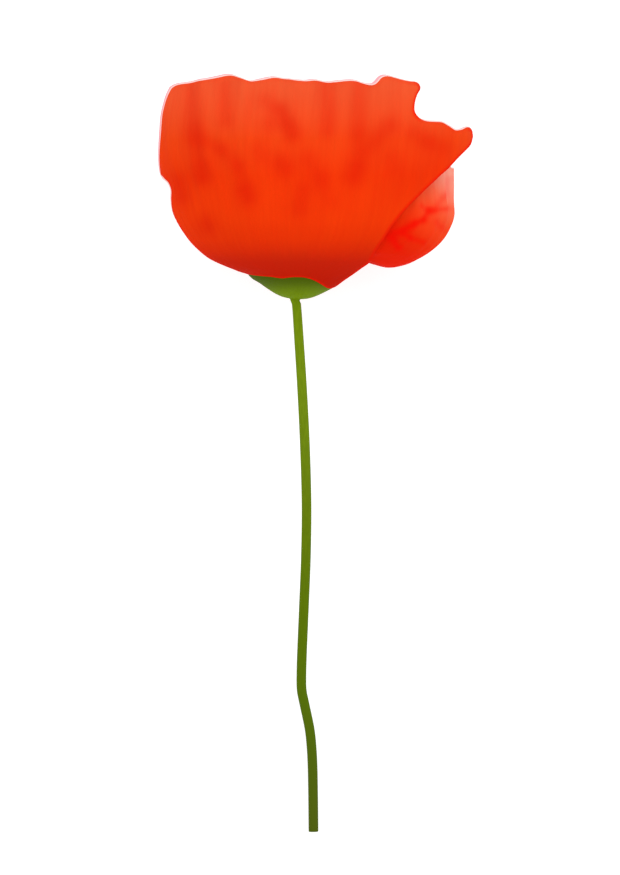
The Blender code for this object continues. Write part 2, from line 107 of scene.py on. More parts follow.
def placed(seen, height):
    """The place of what is seen here in the picture, when it stands at this height."""
    centre = np.array(VIEW_FROM[:2])
    share = (VIEW_FROM[2] - height) / (VIEW_FROM[2] - VIEW_PLANE)
    return centre + (np.asarray(seen) - centre) * np.reshape(share, (-1, 1))


# %% [markdown]
# ## The cup
# The petals of a poppy make a cup: two outer ones, and two inner ones turned a quarter round. This
# one lies on its side, so it is wider than it is deep. Four meridians (front, back, left, right)
# give how far each layer stands from the flower's axis at each height, and between two of them the
# cup is a quarter of an ellipse. The fixed frame's petals stand on the same cup.

# %% Meridians of the two layers
OUTER_FRONT = [
    (10.7, 3.4), (11.5, 4.1), (13.1, 6.0), (15.8, 8.3), (19.6, 10.9), (23.6, 14.0), (27.0, 18.0),
    (29.3, 23.0), (30.6, 29.0), (31.2, 36.0), (31.2, 44.0), (31.1, 52.0), (31.9, 59.0), (33.2, 65.0),
]
OUTER_BACK = [
    (10.7, 3.4), (11.5, 4.1), (13.1, 6.0), (15.4, 8.2), (18.0, 10.6), (20.6, 13.6), (22.6, 17.4),
    (23.8, 22.0), (24.4, 28.0), (24.6, 36.0), (24.3, 44.0), (23.6, 52.0), (23.2, 59.0),
]
OUTER_LEFT = [
    (10.7, 3.4), (11.5, 4.1), (12.8, 5.5), (15.2, 6.3), (18.3, 7.0), (22.6, 8.3), (25.9, 9.8),
    (28.2, 11.2), (31.4, 14.3), (34.0, 17.5), (35.9, 20.8), (37.2, 24.8), (38.6, 29.5),
    (40.3, 34.0), (41.2, 40.0), (41.4, 47.0), (40.8, 54.0), (40.5, 65.0),
]
OUTER_RIGHT = [
    (10.7, 3.4), (11.5, 4.1), (15.0, 5.8), (19.5, 7.6), (25.0, 9.3), (31.0, 11.1), (35.5, 13.0),
    (39.5, 15.7), (42.2, 18.8), (44.0, 23.0), (45.0, 28.0), (45.6, 34.0), (46.3, 40.0),
    (47.0, 46.0), (47.0, 52.0), (46.0, 65.0),
]
INNER_FRONT = [
    (11.6, 7.3), (14.2, 9.2), (17.0, 11.2), (20.8, 14.0), (24.1, 18.0), (26.5, 23.0), (27.9, 29.0),
    (28.4, 36.0), (28.3, 44.0), (27.9, 52.0), (27.6, 60.0),
]
INNER_BACK = [
    (11.6, 7.3), (13.4, 9.1), (15.2, 11.1), (17.4, 14.0), (19.4, 18.0), (20.6, 23.0), (21.1, 29.0),
    (21.3, 36.0), (21.1, 44.0), (20.7, 52.0), (20.3, 60.0),
]
INNER_LEFT = [
    (11.6, 7.3), (14.5, 8.2), (18.5, 9.2), (22.0, 10.5), (25.2, 12.2), (28.0, 14.6), (30.6, 17.8),
    (32.6, 21.5), (34.2, 26.0), (35.6, 31.0), (36.6, 36.0), (37.1, 42.0), (37.1, 48.0),
    (36.6, 56.0),
]
INNER_RIGHT = [
    (11.6, 7.3), (15.2, 9.7), (19.3, 11.8), (24.4, 10.4), (29.2, 11.4), (33.1, 13.5), (36.3, 15.9),
    (38.9, 18.8), (40.6, 22.1), (41.6, 26.0), (41.0, 31.0), (40.4, 36.0), (39.3, 41.0),
    (37.9, 47.0),
]
CLAW_LIFT = 6.5  # the right petal's claw is raised at its flanks
CLAW_LENGTH = 24.0


# %% The cup as one petal sees it
class Cup:
    """A layer of the cup: the petal's own meridian, and the ones at its two sides."""

    def __init__(self, middle, side_minus, side_plus, claw_lift=0.0):
        self.claw_lift = claw_lift
        self.middle = curve_through(middle, 12)
        self.gone = length_along(self.middle)
        height = self.middle[:, 1]
        self.climbed = (np.maximum.accumulate(height) + np.minimum.accumulate(height[::-1])[::-1]) / 2
        self.sides = [curve_through(side, 12) for side in (side_minus, side_plus)]

    def half_width(self, height, plus):
        minus_side, plus_side = [np.interp(height, s[:, 1], s[:, 0]) for s in self.sides]
        return np.where(plus, plus_side, minus_side)

    def point(self, angle, along, swell=0.0):
        """(across, up, out) where the petal is this far round, in radians, and this far along."""
        out = np.interp(along, self.gone, self.middle[:, 0])
        up = np.interp(along, self.gone, self.middle[:, 1])
        climbed = np.interp(along, self.gone, self.climbed)
        across = self.half_width(climbed, angle > 0) * np.sin(angle)
        claw = np.sin(math.pi * np.clip(along / CLAW_LENGTH, 0, 1))
        raised = up + self.claw_lift * (1 - np.cos(angle)) * claw
        return np.stack([across, raised, out * np.cos(angle) + swell], axis=-1)

    def unrolled(self, across, up):
        """(angle, along) of a point that is seen at this place from the petal's front."""
        half = self.half_width(up, across > 0)
        along = np.interp(up, self.middle[:, 1], self.gone)
        return np.stack([np.arcsin(np.clip(across / half, -1, 1)), along], axis=-1)

    def from_view(self, seen):
        """(angle, along) of points of the picture, with the flower's lean taken out."""
        height = np.full(len(seen), VIEW_PLANE)
        for _ in range(5):
            across, up = placed(seen, height).T
            turned_across = across * math.cos(LEAN) - up * math.sin(LEAN)
            turned_up = across * math.sin(LEAN) + up * math.cos(LEAN)
            spots = self.unrolled(turned_across, turned_up)
            height = AXIS_HEIGHT + self.point(*spots.T)[:, 2]
        return spots


front_cup = Cup(OUTER_FRONT, OUTER_LEFT, OUTER_RIGHT)
back_cup = Cup(OUTER_BACK, OUTER_RIGHT, OUTER_LEFT)
right_cup = Cup(INNER_RIGHT, INNER_FRONT, INNER_BACK, CLAW_LIFT)
left_cup = Cup(INNER_LEFT, INNER_BACK, INNER_FRONT)
print("lengths along the cup:", [round(c.gone[-1], 1) for c in (front_cup, back_cup, right_cup, left_cup)])

# %% [markdown]
# ## The petals' edges
# The front petal's edge is what makes this flower itself: a waved top with a deep notch at the
# right, a lobe beyond it, a small step at the left, and a long slanting side. Its edges are given
# as (across, up, width of the pale rim of painted glow that stands outside the red).

# %% Edge of the front petal
FRONT_BASE = [
    (-12.8, 6.6), (-10.0, 6.2), (-6.6, 5.9), (-3.7, 5.5), (-0.5, 5.8), (2.5, 5.7), (5.0, 5.0),
    (7.2, 3.8), (8.6, 2.9), (9.8, 2.7),
]
FRONT_LEFT = [
    (-12.8, 6.6, 0.0), (-17.2, 8.1, 0.0), (-21.3, 9.8, 0.0), (-24.3, 11.5, 0.0),
    (-27.9, 14.8, 0.05), (-30.3, 18.0, 0.1), (-32.2, 21.3, 0.2), (-33.2, 23.9, 0.3),
    (-33.6, 27.2, 0.4), (-33.6, 29.6, 0.4), (-34.4, 31.6, 0.4), (-36.0, 33.4, 0.5),
    (-36.5, 35.8, 0.6), (-36.6, 39.5, 0.7), (-36.3, 44.5, 0.75), (-35.9, 49.8, 0.75),
    (-35.1, 53.4, 0.75), (-34.4, 55.6, 0.75), (-33.5, 57.3, 0.75),
]
FRONT_TOP = [
    (-33.5, 57.3, 0.75), (-32.0, 58.1, 0.75), (-28.7, 58.7, 0.75), (-25.4, 59.3, 0.75),
    (-22.1, 59.9, 0.75), (-18.9, 60.7, 0.75), (-17.2, 60.8, 0.75), (-15.6, 60.3, 0.7),
    (-13.1, 59.4, 0.6), (-11.5, 59.1, 0.6), (-9.0, 59.5, 0.65), (-5.7, 60.2, 0.65),
    (-2.5, 59.8, 0.65), (2.5, 59.1, 0.65), (5.7, 59.3, 0.65), (9.0, 58.8, 0.65),
    (13.4, 59.2, 0.65), (16.4, 59.2, 0.65), (18.9, 58.4, 0.65), (20.9, 58.0, 0.7),
    (22.3, 58.6, 0.75), (23.7, 60.2, 0.7), (25.4, 60.6, 0.6), (28.7, 59.8, 0.5),
    (31.2, 59.2, 0.4), (33.4, 58.8, 0.3), (34.4, 57.4, 0.05), (33.5, 55.5, 0.0),
    (32.9, 53.3, 0.0), (32.8, 51.0, 0.1), (33.8, 49.2, 0.3), (35.6, 48.3, 0.5),
    (38.2, 48.1, 0.5), (40.2, 47.9, 0.5), (42.0, 46.9, 0.5), (43.7, 45.8, 0.5),
    (45.4, 45.9, 0.5), (47.0, 46.6, 0.4), (48.1, 46.0, 0.2), (48.5, 44.2, 0.1),
]
FRONT_RIGHT = [
    (9.8, 2.7, 0.0), (11.2, 3.3, 0.0), (13.4, 4.9, 0.0), (15.9, 6.6, 0.0), (18.0, 8.1, 0.0),
    (20.4, 9.9, 0.0), (21.7, 12.4, 0.0), (24.1, 16.0, 0.0), (27.3, 20.8, 0.0), (31.4, 25.5, 0.0),
    (36.9, 30.9, 0.0), (41.9, 35.5, 0.0), (44.6, 38.4, 0.0), (46.6, 40.4, 0.0), (47.9, 42.1, 0.1),
    (48.5, 44.2, 0.1),
]


def edge_in_view(cup, points):
    """An edge read off the picture, moved out by its pale rim, as (angle, along, rim) on the cup."""
    line = curve_through(points, 10)
    if line.shape[1] == 2:
        return np.column_stack([cup.from_view(line), np.zeros(len(line))])
    way = np.gradient(line[:, :2], axis=0)
    way /= np.linalg.norm(way, axis=1)[:, None]
    outwards = np.column_stack([-way[:, 1], way[:, 0]])
    if points[0][1] < points[-1][1] and points[0][0] > 0:
        outwards = -outwards
    rim = np.clip(line[:, 2:], 0, None)
    return np.column_stack([cup.from_view(line[:, :2] + outwards * rim), rim])


front_edges = [
    edge_in_view(front_cup, edge) for edge in (FRONT_BASE, FRONT_TOP, FRONT_LEFT, FRONT_RIGHT)
]
print("front petal:", [len(edge) for edge in front_edges], "points on its edges")

# %% [markdown]
# The other three petals are partly or wholly hidden in the picture, so they get the waves that a
# poppy's petals have. Their edges are (degrees from the petal's own middle, millimetres along it).

# %% Edges of the other petals
BACK_EDGES = [
    [(-50, 1.6), (-34, 2.0), (-16, 2.4), (4, 2.5), (26, 2.3), (46, 2.0), (62, 1.6)],
    [
        (-55, 44.0), (-46, 48.5), (-34, 55.0), (-26, 54.3), (-16, 57.4), (-6, 55.6), (4, 57.2),
        (14, 55.4), (24, 57.0), (34, 54.6), (44, 55.0), (54, 52.6), (62, 50.0),
    ],
    [
        (-50, 1.6), (-49, 3.5), (-43, 6.0), (-37, 8.5), (-35, 11.0), (-39, 15.0), (-46, 20.0),
        (-52, 26.0), (-56, 32.0), (-58, 38.0), (-55, 44.0),
    ],
    [
        (62, 1.6), (62, 5.0), (62, 11.0), (63, 18.0), (64, 25.0), (63, 30.0), (66, 36.0),
        (67, 44.0), (62, 50.0),
    ],
]
RIGHT_EDGES = [
    [(-36, 0.0), (-18, 0.2), (0, 0.0), (18, 0.2), (36, 0.0)],
    [
        (-52, 51.0), (-40, 53.8), (-31, 52.6), (-22, 54.4), (-12, 53.2), (-1, 52.4), (10, 53.2),
        (20, 55.0), (30, 53.0), (42, 53.4), (54, 50.0),
    ],
    [(-36, 0.0), (-50, 8.0), (-60, 18.0), (-66, 28.0), (-69, 37.0), (-64, 46.0), (-52, 51.0)],
    [(36, 0.0), (50, 8.0), (60, 18.0), (65, 28.0), (67, 37.0), (64, 45.0), (54, 50.0)],
]
LEFT_EDGES = [
    [(-34, 0.0), (-17, 0.2), (0, 0.0), (17, 0.2), (34, 0.0)],
    [
        (-55, 54.0), (-44, 58.4), (-33, 57.0), (-22, 59.0), (-11, 56.4), (0, 57.4), (11, 55.2),
        (22, 58.4), (33, 56.6), (45, 58.2), (57, 53.4),
    ],
    [(-34, 0.0), (-50, 9.0), (-62, 19.0), (-68, 30.0), (-70, 41.0), (-66, 49.0), (-55, 54.0)],
    [(34, 0.0), (49, 9.0), (60, 19.0), (67, 30.0), (69, 41.0), (66, 48.0), (57, 53.4)],
]
HIDDEN_RIM = 0.4  # as wide as that at the top, and nothing at the claw


def edge_on_petal(points):
    line = curve_through(points, 40)
    rim = HIDDEN_RIM * np.clip((line[:, 1] - 16.0) / 26.0, 0, 1)
    return np.column_stack([np.radians(line[:, 0]), line[:, 1], rim])


def edges_on_petal(edges):
    return [edge_on_petal(edge) for edge in edges]


# %% [markdown]
# ## Folds and crumples
# A poppy's petals are packed tight in the bud, so they open creased like crêpe paper. Broad folds
# run up to the waves of the rim, and they are the same as on the fixed frame. On them lie small
# crumples: long, narrow ripples that fan out from the base, each a sine whose line wanders a
# little, and short ruffles along the rim. All of them push the petal straight out, towards
# whoever looks at its middle, so its outline stays as it was measured. They come from a seeded
# random list, so the flower is the same each time.

# %% Broad folds and small crumples
FOLD_START, FOLD_END = 22.0, 60.0
DEGREES_A_FOLD = 21.0
CRUMPLES = 9
CRUMPLE_DEPTH = 0.07
RUFFLE_DEPTH = 0.35
RUFFLE_REACH = 3.0


def folds(angle, along, depth, phase):
    rise = np.clip((along - FOLD_START) / (FOLD_END - FOLD_START), 0, 1) ** 1.4
    calm = 1 - 0.5 * np.clip(np.abs(angle) / 1.2, 0, 1) ** 2
    waves = np.cos(math.tau * np.degrees(angle) / DEGREES_A_FOLD + phase)
    drift = 0.35 * np.sin(math.tau * np.degrees(angle) / (2.7 * DEGREES_A_FOLD) + 2 * phase)
    return depth * rise * calm * (waves + drift)


def crumples(angle, along, seed):
    chance = np.random.default_rng(seed)
    across = np.degrees(angle) * 0.6
    total = np.zeros_like(across)
    for _ in range(CRUMPLES):
        width, length = chance.uniform(3.0, 8.0), chance.uniform(16.0, 50.0)
        wander = chance.uniform(0.4, 1.4) * np.sin(along / chance.uniform(5.0, 12.0) + chance.uniform(0, 6))
        wave = np.sin(math.tau * ((across + wander) / width + along / length) + chance.uniform(0, 6))
        total += wave * (width / 8.0)
    return CRUMPLE_DEPTH * total * np.clip((along - 8.0) / 30.0, 0, 1)


def ruffles(angle, along, edge, seed):
    chance = np.random.default_rng(seed + 100)
    across = np.degrees(angle) * 0.6
    wave = sum(
        np.sin(math.tau * across / width + chance.uniform(0, 6)) for width in (4.1, 5.7, 8.3)
    )
    near = np.exp(-np.clip(edge, 0, None) / RUFFLE_REACH)
    return RUFFLE_DEPTH / 2 * wave * near * np.clip((along - 15.0) / 25.0, 0, 1)


# %% [markdown]
# ## A petal as a sheet
# A flat grid is the natural start for a petal: its columns fan out from the claw to the rim, and
# its rows follow the cup. Each corner of the grid is given a place between the four edges, and is
# then lifted onto the cup. What the colours need goes with it: the distance from the red's edge,
# how much of a pale rim of painted glow there is, how far along a given way in the view each point
# shows (the colour ramps on that, partly as painted shade), and the soft darker strokes.

# %% Filling four edges with a grid
def blended(edges, u, v):
    """(angle, along) at (u, v) of the sheet that fills four edges, each from 0 to 1."""
    reach = np.array([30.0, 1.0])  # a radian of angle counts as this many millimetres
    base, top, left, right = [edge[:, :2] for edge in edges]
    base_at, top_at = [spread(edge * reach, u) / reach for edge in (base, top)]
    left_at, right_at = [spread(edge * reach, v) / reach for edge in (left, right)]
    u, v = u[:, None], v[:, None]
    ruled = (1 - u) * left_at + u * right_at + (1 - v) * base_at + v * top_at
    corners = (1 - u) * ((1 - v) * base[0] + v * top[0]) + u * ((1 - v) * base[-1] + v * top[-1])
    return ruled - corners


def evened(places, columns, rounds=80):
    """The grid with its inner lines moved apart, so that none folds over its neighbour."""
    reach = np.array([30.0, 1.0])
    net = (places * reach).reshape(-1, columns, 2)
    for _ in range(rounds):
        across, up = (net[1:-1, 2:] - net[1:-1, :-2]) / 2, (net[2:, 1:-1] - net[:-2, 1:-1]) / 2
        wide, tall = (across**2).sum(-1, keepdims=True), (up**2).sum(-1, keepdims=True)
        slant = (across * up).sum(-1, keepdims=True) / 2
        beside = tall * (net[1:-1, 2:] + net[1:-1, :-2]) + wide * (net[2:, 1:-1] + net[:-2, 1:-1])
        corner = slant * (net[2:, 2:] - net[:-2, 2:] - net[2:, :-2] + net[:-2, :-2])
        wanted = (beside - corner) / (2 * (wide + tall) + 1e-9)
        net[1:-1, 1:-1] += 0.8 * (wanted - net[1:-1, 1:-1])
    return net.reshape(-1, 2) / reach


def nearest_to(spots, line):
    """For each spot the distance to the nearest point of a line, and which point that is."""
    distance, which = np.empty(len(spots)), np.empty(len(spots), int)
    for start in range(0, len(spots), 2000):
        part = slice(start, start + 2000)
        apart = np.linalg.norm(spots[part, None, :] - line[None, :, :], axis=2)
        which[part] = apart.argmin(axis=1)
        distance[part] = apart.min(axis=1)
    return distance, which


def from_free_edge(cup, edges, spots, turn, as_seen):
    """Distance of each spot from the red's edge (below 0 on the pale rim), and the rim's width."""
    free = np.vstack(edges[1:])
    line = cup.point(free[:, 0], free[:, 1])
    distance, which = nearest_to(spots, line)
    rim = free[which, 2]
    if not as_seen:
        return distance - rim, rim
    seen, which = nearest_to(in_view(spots, turn), in_view(line, turn))
    rim = free[which, 2]
    return np.maximum(seen - rim, distance - 2 * rim), rim


def from_base_edge(cup, edges, spots):
    return nearest_to(spots, cup.point(edges[0][:, 0], edges[0][:, 1]))[0]


# %% Soft strokes of deeper colour
def stroked(seen, strokes):
    """How strongly soft strokes cover places of the picture: (from x, y, to x, y, radius, strength)."""
    cover = np.zeros(len(seen))
    for x0, y0, x1, y1, radius, strength in strokes:
        start, way = np.array([x0, y0]), np.array([x1 - x0, y1 - y0])
        share = np.clip((seen - start) @ way / max(way @ way, 1e-6), 0, 1)
        gap = np.linalg.norm(seen - start - share[:, None] * way, axis=1)
        cover = 1 - (1 - cover) * (1 - strength * np.exp(-((gap / radius) ** 2)))
    return cover


def in_view(spots, turn):
    """Where points of a petal show in the picture."""
    around = Matrix.Rotation(turn, 3, "Y")
    spots = spots @ np.array(around).T
    across = spots[:, 0] * math.cos(LEAN) + spots[:, 1] * math.sin(LEAN)
    up = spots[:, 1] * math.cos(LEAN) - spots[:, 0] * math.sin(LEAN)
    centre = np.array(VIEW_FROM[:2])
    share = (VIEW_FROM[2] - VIEW_PLANE) / (VIEW_FROM[2] - AXIS_HEIGHT - spots[:, 2])
    return centre + (np.column_stack([across, up]) - centre) * share[:, None]


# %% The petal maker
PETAL_THICKNESS = 0.26
HUG_REACH = 3.5  # this far up a petal's base is drawn in onto the receptacle
FLOOR_OF_PETAL = AXIS_HEIGHT - PETAL_THICKNESS / 2


def petal(name, cup, edges, turn, grid, fold, hug, seed, runs, strokes=(), as_seen=False):
    """One petal; hug is how far its base is drawn straight in, and in towards the axis."""
    mesh = bpy.data.meshes.new(name)
    sheet = bmesh.new()
    bmesh.ops.create_grid(sheet, x_segments=grid[0], y_segments=grid[1], size=1.0)
    places = np.array([vertex.co for vertex in sheet.verts])
    u, v = (places[:, 0] + 1) / 2, (places[:, 1] + 1) / 2
    angle, along = evened(blended(edges, u, v), grid[0] + 1).T
    smooth = cup.point(angle, along)
    edge, rim = from_free_edge(cup, edges, smooth, math.radians(turn), as_seen)
    base = from_base_edge(cup, edges, smooth)
    straight, inwards = [depth * np.exp(-((base / HUG_REACH) ** 2)) for depth in hug]
    swell = folds(angle, along, *fold) + crumples(angle, along, seed)
    swell += ruffles(angle, along, edge, seed)
    spots = cup.point(angle, along, swell - straight)
    spots[:, [0, 2]] *= 1 - (inwards / np.hypot(spots[:, 0], spots[:, 2]))[:, None]
    around = Matrix.Rotation(math.radians(turn), 4, "Y")
    for vertex, spot in zip(sheet.verts, spots):
        vertex.co = around @ Vector(spot)
        vertex.co.z = max(vertex.co.z, -FLOOR_OF_PETAL)
        vertex.co = HEAD @ vertex.co
    uv = sheet.loops.layers.uv.new("petal")
    across = angle * 33.0
    sheet.verts.index_update()
    for face in sheet.faces:
        for loop in face.loops:
            index = loop.vert.index
            loop[uv].uv = (across[index] / 100, along[index] / 100)
    sheet.to_mesh(mesh)
    sheet.free()
    mesh.shade_smooth()
    seen = in_view(smooth, math.radians(turn))
    # run: how far along the given way in the view each point shows; the colour ramps on it, partly as
    # painted shade.
    facts = {
        "edge": edge, "rim": rim, "base": base,
        "run": seen @ np.array(runs), "stroke": stroked(seen, strokes),
    }
    for fact, values in facts.items():
        kept = mesh.attributes.new(fact, "FLOAT", "POINT")
        kept.data.foreach_set("value", np.asarray(values, np.float32))
    made = bpy.data.objects.new(name, mesh)
    bpy.context.scene.collection.objects.link(made)
    thickness = made.modifiers.new("thickness", "SOLIDIFY")
    thickness.thickness = PETAL_THICKNESS * MM
    thickness.offset = 0.0
    thickness.material_offset = 1
    print(name, len(mesh.polygons), "faces, edge", round(float(edge.min()), 2), "mm")
    return made


# %% [markdown]
# The strokes on the front petal follow the picture: soft, darker, mostly upright, and two brownish
# ones lower down. The right petal shows red veins that spread from its claw.

# %% The four petals
FRONT_STROKES = [
    (-28.0, 57.0, -27.3, 45.0, 2.6, 0.5), (-27.0, 46.0, -26.4, 43.0, 2.8, 0.5),
    (-27.0, 43.0, -25.4, 33.0, 2.4, 0.55), (-25.4, 36.0, -25.2, 33.5, 2.8, 0.6),
    (-26.0, 43.5, -20.0, 40.6, 2.2, 0.45), (-20.0, 40.6, -15.5, 36.0, 2.2, 0.45),
    (-15.5, 36.0, -13.4, 30.0, 2.4, 0.4), (-13.6, 29.2, -12.8, 27.6, 2.9, 0.75),
    (-19.2, 58.0, -18.9, 48.5, 2.6, 0.5), (-8.4, 54.0, -4.0, 51.4, 2.4, 0.35),
    (-4.0, 51.4, -0.8, 45.2, 2.4, 0.6), (-1.2, 46.4, -0.6, 44.6, 2.8, 0.45),
    (-7.0, 47.6, -3.0, 47.8, 2.4, 0.35), (-3.8, 36.8, -2.8, 35.6, 3.2, 0.7),
    (-10.0, 40.4, -9.2, 39.0, 2.9, 0.4), (3.6, 38.0, 7.0, 32.6, 2.9, 0.5),
    (7.0, 32.6, 9.8, 26.4, 2.6, 0.35), (2.4, 29.4, 1.2, 24.6, 2.8, 0.5),
    (8.6, 57.5, 8.8, 46.0, 2.7, 0.55), (17.6, 57.5, 17.4, 45.0, 2.6, 0.5),
    (17.4, 45.0, 17.2, 37.0, 2.8, 0.4), (16.8, 35.4, 16.0, 33.4, 3.3, 0.75),
    (19.4, 40.4, 25.6, 47.0, 2.9, 0.6), (26.6, 38.0, 27.4, 35.6, 3.0, 0.4),
    (32.6, 45.0, 36.4, 42.6, 2.9, 0.5), (36.4, 42.6, 40.6, 41.0, 2.6, 0.4),
    (30.0, 31.0, 38.0, 37.0, 6.5, 0.3),
    (-31.6, 31.4, -30.8, 28.0, 3.0, 0.6), (-24.2, 20.4, -23.8, 19.8, 2.8, 0.6),
]
RIGHT_VEINS = [
    (25.0, 17.2, 26.6, 16.4, 1.5, 0.9), (26.4, 16.4, 28.2, 13.9, 1.0, 0.9),
    (27.0, 18.0, 29.4, 18.2, 1.2, 0.9), (29.2, 18.2, 31.4, 16.5, 0.9, 0.7),
    (31.4, 16.5, 34.8, 15.4, 0.9, 0.6), (29.4, 18.4, 32.5, 20.4, 1.1, 0.95),
    (32.5, 20.4, 35.4, 21.4, 1.0, 0.85), (35.4, 21.4, 37.0, 23.9, 1.0, 0.7),
    (37.0, 23.9, 41.8, 24.5, 0.9, 0.6), (37.0, 23.9, 34.6, 25.2, 0.9, 0.5),
    (37.6, 24.0, 41.0, 28.2, 1.0, 0.4), (41.0, 28.2, 42.0, 32.6, 1.0, 0.3),
    (38.6, 20.8, 40.6, 18.8, 1.2, 0.45), (24.4, 19.4, 27.0, 20.6, 1.3, 0.4),
]

petals = {
    "petal_outer_front": petal(
        "front_petal", front_cup, front_edges, 0, (200, 140), (1.0, 0.4), (0.62, 0.0), 11,
        (0.0, 1.0), FRONT_STROKES, True,
    ),
    "petal_outer_back": petal(
        "back_petal", back_cup, edges_on_petal(BACK_EDGES), 180, (160, 110), (0.9, 1.9),
        (0.0, 0.7), 12, (0.0, 1.0),
    ),
    "petal_inner_right": petal(
        "right_petal", right_cup, edges_on_petal(RIGHT_EDGES), 90, (150, 110), (0.8, 0.9),
        (0.0, 0.4), 13, (0.77, 0.64), RIGHT_VEINS,
    ),
    "petal_inner_left": petal(
        "left_petal", left_cup, edges_on_petal(LEFT_EDGES), -90, (150, 110), (0.8, 2.6),
        (0.0, 0.4), 14, (-0.77, 0.64),
    ),
}
for node, piece in petals.items():
    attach(piece, "root")
    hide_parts(node)

# %% [markdown]
# ## Stem and receptacle
# The stem widens into a shallow bowl, the receptacle, and both are one grown piece. A tube whose
# rings change their size makes them in one go: a grid is rolled up round a centre line, ring by
# ring, from the middle of the bowl's top, down its side, along the stem to the cut end, and in
# again to the middle of the cut.

# %% Rings of the receptacle and the stem
RECEPTACLE = [
    (0.0, 7.2), (4.0, 7.25), (8.0, 7.3), (10.6, 7.15), (11.8, 6.8), (12.2, 6.2), (12.15, 5.6),
    (11.4, 4.6), (10.4, 3.85), (9.0, 2.95), (7.3, 1.95), (5.4, 0.95), (3.8, 0.35), (2.5, 0.08),
    (1.5, -0.08), (1.3, -0.45),
]
RIM_BROADER = 0.09  # the rim is drawn out to a point at the left
STEM_ROUTE = [
    (0.4, -1.6, 23.65, 1.26), (0.6, -4.0, 23.35, 1.26), (1.0, -10.0, 22.5, 1.3),
    (1.9, -24.0, 20.3, 1.34), (2.7, -40.0, 17.2, 1.36), (3.15, -56.0, 13.8, 1.36),
    (3.0, -70.0, 10.9, 1.36), (2.5, -83.0, 8.4, 1.36), (1.95, -96.0, 6.1, 1.36),
    (1.75, -103.0, 5.0, 1.36), (1.85, -107.2, 4.4, 1.36), (2.6, -111.0, 3.9, 1.36),
    (3.95, -117.5, 3.1, 1.36), (4.5, -122.4, 2.6, 1.36), (4.8, -128.0, 2.05, 1.36),
    (4.95, -136.0, 1.6, 1.36), (5.05, -145.7, 1.36, 1.36),
]
CUT_END = [(1.33, 0.06), (1.25, 0.09), (1.12, 0.09), (0.8, 0.07), (0.4, 0.02), (0.0, -0.02)]
SIDES = 40


def rings():
    """(centre, direction, radius) of each ring, in the neck's frame."""
    up_axis = Vector((math.sin(LEAN), math.cos(LEAN), 0.0))
    bowl = curve_through(RECEPTACLE, 4)
    found = [
        (up_axis * height + Vector((0, 0, AXIS_HEIGHT)), -up_axis, radius)
        for radius, height in bowl
    ]
    route = curve_through(STEM_ROUTE, 7)
    route[:, :2] = placed(route[:, :2], route[:, 2])
    ways = np.gradient(route[:, :3], axis=0)
    for spot, way in zip(route, ways):
        found.append((Vector(spot[:3]), Vector(way).normalized(), spot[3]))
    end, way = found[-1][0], found[-1][1]
    found += [(end + way * past, way, radius) for radius, past in CUT_END]
    return found


# %% Rolling the grid round the rings
def stem_and_receptacle():
    found = rings()
    tube = bmesh.new()
    bmesh.ops.create_grid(tube, x_segments=SIDES, y_segments=len(found) - 1, size=1.0)
    pith = tube.verts.layers.float.new("pith")
    for vertex in tube.verts:
        around = math.pi * (vertex.co.x + 1)
        ring = round((vertex.co.y + 1) / 2 * (len(found) - 1))
        vertex[pith] = float(ring > len(found) - len(CUT_END))
        centre, way, radius = found[ring]
        side = Vector((0, 0, 1)).cross(way).normalized()
        above = way.cross(side)
        leftwards = max(-side.x * math.cos(around), 0.0) ** 4
        broad = 1 + RIM_BROADER * max(radius - 10.0, 0.0) / 2.2 * leftwards
        round_it = side * math.cos(around) * broad + above * math.sin(around)
        vertex.co = (NECK + centre + round_it * radius) * MM
    bmesh.ops.remove_doubles(tube, verts=tube.verts[:], dist=1e-6)
    bmesh.ops.recalc_face_normals(tube, faces=tube.faces[:])
    mesh = bpy.data.meshes.new("stem")
    tube.to_mesh(mesh)
    tube.free()
    mesh.shade_smooth()
    made = bpy.data.objects.new("stem", mesh)
    bpy.context.scene.collection.objects.link(made)
    return made


stem = stem_and_receptacle()
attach(stem, "root")
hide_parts("stem_and_receptacle")
print("stem:", len(stem.data.polygons), "faces")

# %% [markdown]
# ## Ovary and stigma
# The ovary is a small barrel, which later becomes the pepper-pot capsule, with a faint rib under
# each ray of the flat cap on it. Both are turned: a profile is spun round the flower's axis, and
# then the ribs and rays are pushed out of it.

# %% Turning a profile
OVARY = [
    (0.0, 19.5), (3.4, 19.4), (4.1, 19.0), (4.4, 18.2), (4.8, 16.6), (4.95, 14.6), (4.75, 12.6),
    (4.2, 10.8), (3.5, 9.4), (3.0, 8.4), (2.75, 7.6), (2.7, 7.2), (0.0, 7.2),
]
STIGMA = [
    (0.0, 22.0), (0.8, 21.9), (1.6, 21.65), (2.5, 21.3), (3.4, 20.95), (4.2, 20.6), (4.8, 20.3),
    (5.2, 20.05), (5.3, 19.85), (5.1, 19.65), (4.4, 19.55), (2.6, 19.5), (0.0, 19.5),
]
RAYS = 10


def turned(name, profile, sides, shape):
    spun = bmesh.new()
    line = [(max(radius, 0.0), height) for radius, height in curve_through(profile, 3)]
    dots = [spun.verts.new((radius, height, 0.0)) for radius, height in line]
    for start, end in zip(dots, dots[1:]):
        spun.edges.new((start, end))
    bmesh.ops.spin(
        spun, geom=spun.verts[:] + spun.edges[:], cent=(0, 0, 0), axis=(0, 1, 0),
        angle=math.tau, steps=sides, use_merge=True,
    )
    bmesh.ops.remove_doubles(spun, verts=spun.verts[:], dist=1e-4)
    bmesh.ops.recalc_face_normals(spun, faces=spun.faces[:])
    ridge = spun.verts.layers.float.new("ridge")
    for vertex in spun.verts:
        place, vertex[ridge] = shape(vertex.co)
        vertex.co = HEAD @ place
    mesh = bpy.data.meshes.new(name)
    spun.to_mesh(mesh)
    spun.free()
    mesh.shade_smooth()
    made = bpy.data.objects.new(name, mesh)
    bpy.context.scene.collection.objects.link(made)
    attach(made, "root")
    print(name, len(mesh.polygons), "faces")
    return made


